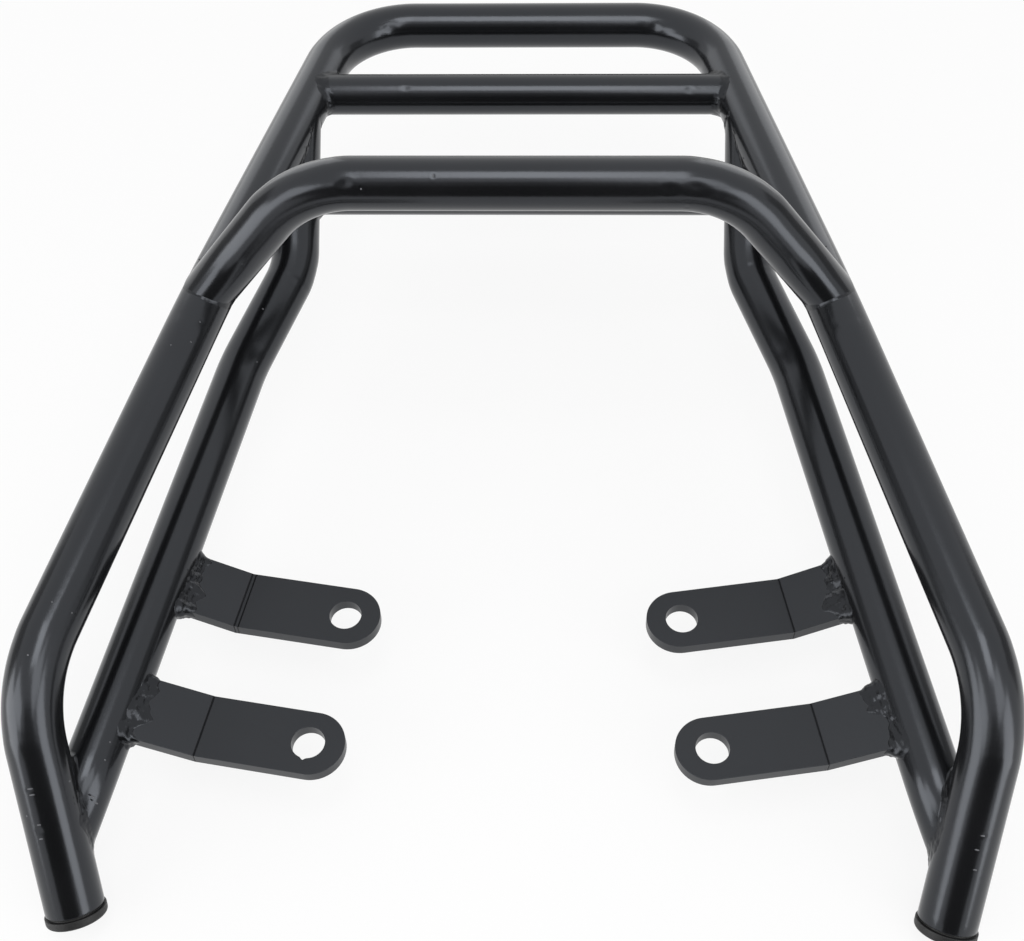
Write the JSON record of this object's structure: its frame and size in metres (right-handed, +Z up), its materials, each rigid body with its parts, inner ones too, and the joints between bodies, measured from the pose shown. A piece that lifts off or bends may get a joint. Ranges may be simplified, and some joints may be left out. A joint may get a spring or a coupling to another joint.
{
  "type": "motorcycle luggage rack",
  "caption": "Welded steel-tube motorcycle luggage rack with side rails that bend down into feet, a raised front hoop, crossbars, under-stays and drilled flat tabs.",
  "frame": {"origin": "midway between the two rear tab holes, on the underside of the tabs, which is the face that sits on the machine", "axes": "+Z up, square to the tabs and to the level rear part of the rails; +Y to the rear of the machine; X across it"},
  "size_m": [0.4252, 0.518, 0.1855],
  "materials": {
    "powder_coat": "semi-gloss black powder coat",
    "coated_weld": "semi-gloss black powder coat over rough weld",
    "plug_plastic": "moulded black plastic"
  },
  "bodies": {
    "root": {"main_rail": "powder_coat", "front_hoop": "powder_coat", "rear_crossbar": "powder_coat", "lower_crossbar": "powder_coat", "left_stay": "powder_coat", "right_stay": "powder_coat", "tab_left_front": "powder_coat", "tab_left_rear": "powder_coat", "tab_right_front": "powder_coat", "tab_right_rear": "powder_coat", "end_plug_left": "plug_plastic", "end_plug_right": "plug_plastic", "weld_hoop_left": "coated_weld", "weld_hoop_right": "coated_weld", "weld_rear_crossbar_left": "coated_weld", "weld_rear_crossbar_right": "coated_weld", "weld_lower_crossbar_left": "coated_weld", "weld_lower_crossbar_right": "coated_weld", "weld_stay_foot_left": "coated_weld", "weld_stay_foot_right": "coated_weld", "weld_stay_top_left": "coated_weld", "weld_stay_top_right": "coated_weld", "weld_tab_left_front": "coated_weld", "weld_tab_left_rear": "coated_weld", "weld_tab_right_front": "coated_weld", "weld_tab_right_rear": "coated_weld"}
  },
  "joints": []
}
